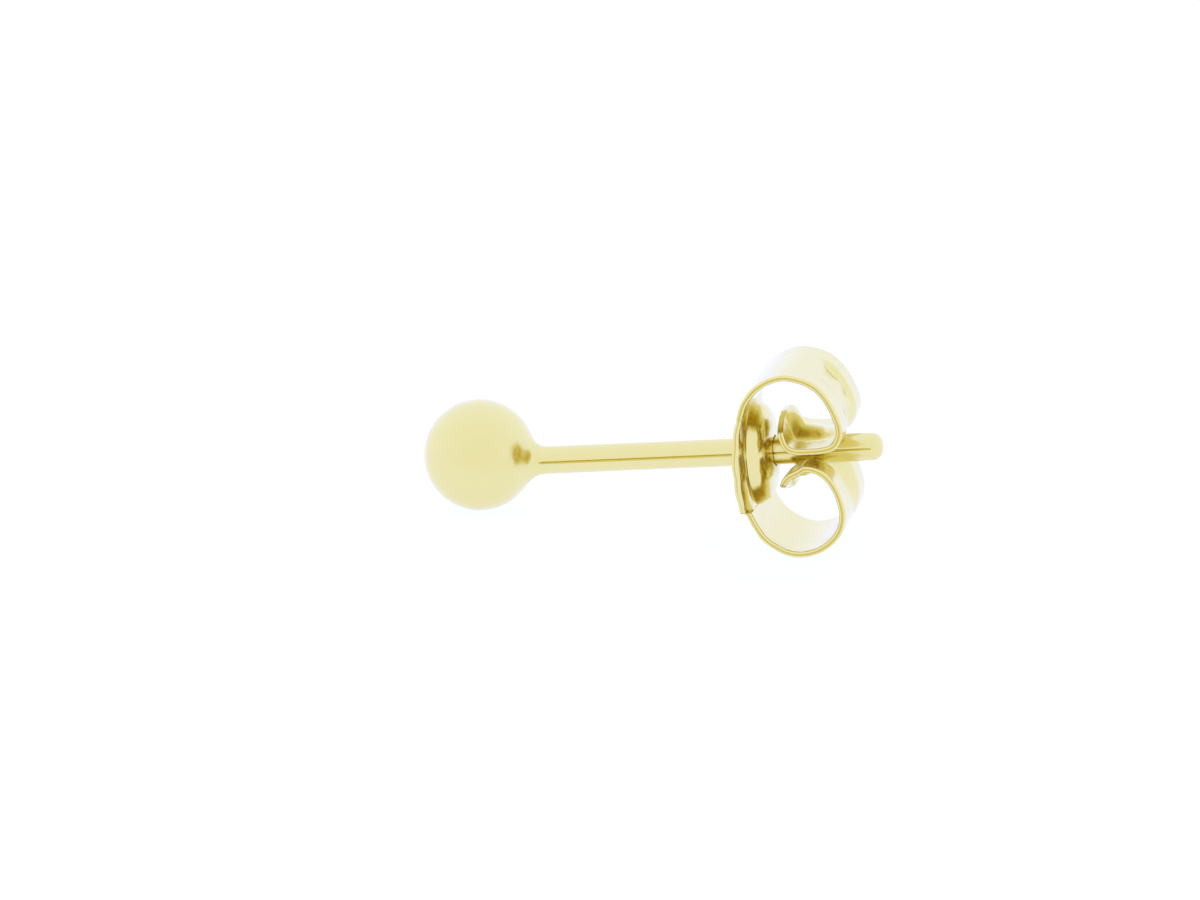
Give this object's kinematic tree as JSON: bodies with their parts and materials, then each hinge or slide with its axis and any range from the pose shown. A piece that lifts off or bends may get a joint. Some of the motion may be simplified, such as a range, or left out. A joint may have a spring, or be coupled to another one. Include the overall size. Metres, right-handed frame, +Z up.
{
  "type": "ball stud earring",
  "caption": "Small polished yellow-gold ball soldered to a plain round post, with a butterfly clutch whose two scrolls grip the post.",
  "frame": {"origin": "middle of the box's base, on the surface that the earring lies on", "axes": "+X from the ball towards the post's tip, along the surface; +Y along the axis of the clutch's scrolls; +Z up"},
  "size_m": [0.0124, 0.004, 0.005],
  "materials": {
    "ball_post_gold": "polished 14-carat yellow gold",
    "clutch_gold": "pressed and polished 14-carat yellow gold sheet"
  },
  "bodies": {
    "stud": {"ball_post": "ball_post_gold"},
    "clutch": {"butterfly_clutch": "clutch_gold"}
  },
  "joints": [
    {"name": "clutch_slide", "type": "slide", "parent": "stud", "child": "clutch", "axis": [0.9892, 0, 0.1465], "range_m": [-0.0052, 0.0042]}
  ]
}
